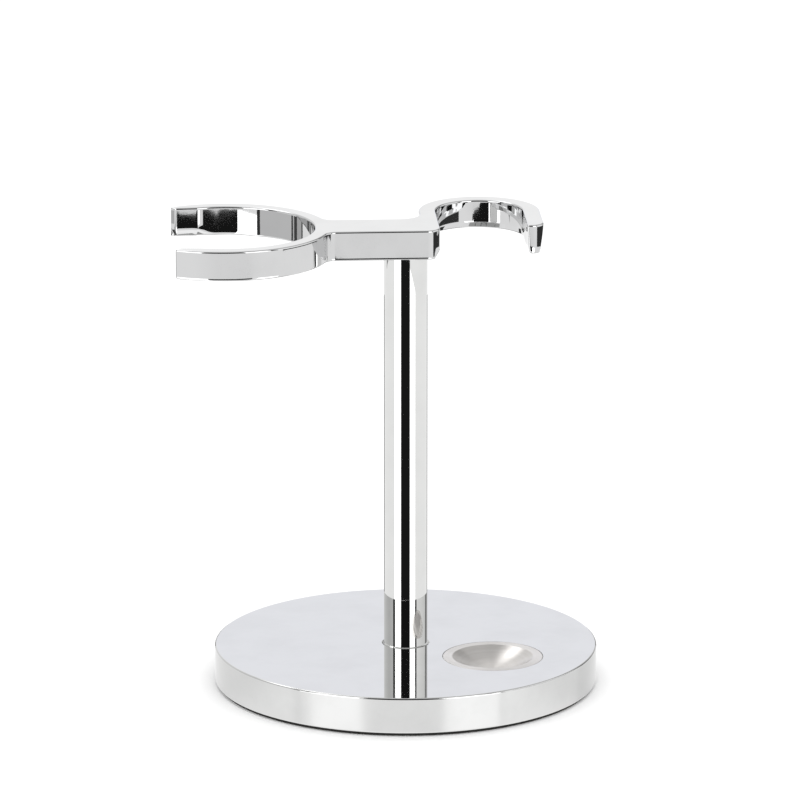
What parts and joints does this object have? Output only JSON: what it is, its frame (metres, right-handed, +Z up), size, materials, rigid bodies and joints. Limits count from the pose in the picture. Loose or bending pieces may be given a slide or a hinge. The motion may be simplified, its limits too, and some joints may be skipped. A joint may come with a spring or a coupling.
{
  "type": "shaving stand",
  "caption": "Chromed shaving stand: a round weighted base with a razor dish, a plain column, and a one-piece arm with a C-shaped brush ring and a U-shaped razor hook.",
  "frame": {"origin": "on the column's axis, at the underside of the foot pad, where the stand rests", "axes": "+Z up along the column; +X along the arm from the brush ring to the razor hook; the razor slot opens to -Y, towards the user"},
  "size_m": [0.0969, 0.088, 0.1081],
  "materials": {
    "chrome_plate": "mirror-bright chrome plating on a polished casting",
    "chrome_tube": "mirror-bright chrome plating on drawn tube",
    "chrome_base": "bright chrome plating on a turned steel disc",
    "turned_steel": "satin turned stainless steel",
    "zinc_steel": "bright zinc-plated steel hardware",
    "spring_steel": "blackened spring steel",
    "pad_rubber": "matt black foam rubber"
  },
  "bodies": {
    "root": {"arm": "chrome_plate", "column": "chrome_tube", "tie_rod": "zinc_steel", "base_disc": "chrome_base", "razor_dish": "turned_steel", "foot_pad": "pad_rubber", "clamping_nut": "zinc_steel", "lock_washer": "spring_steel", "flat_washer": "zinc_steel"}
  },
  "joints": []
}
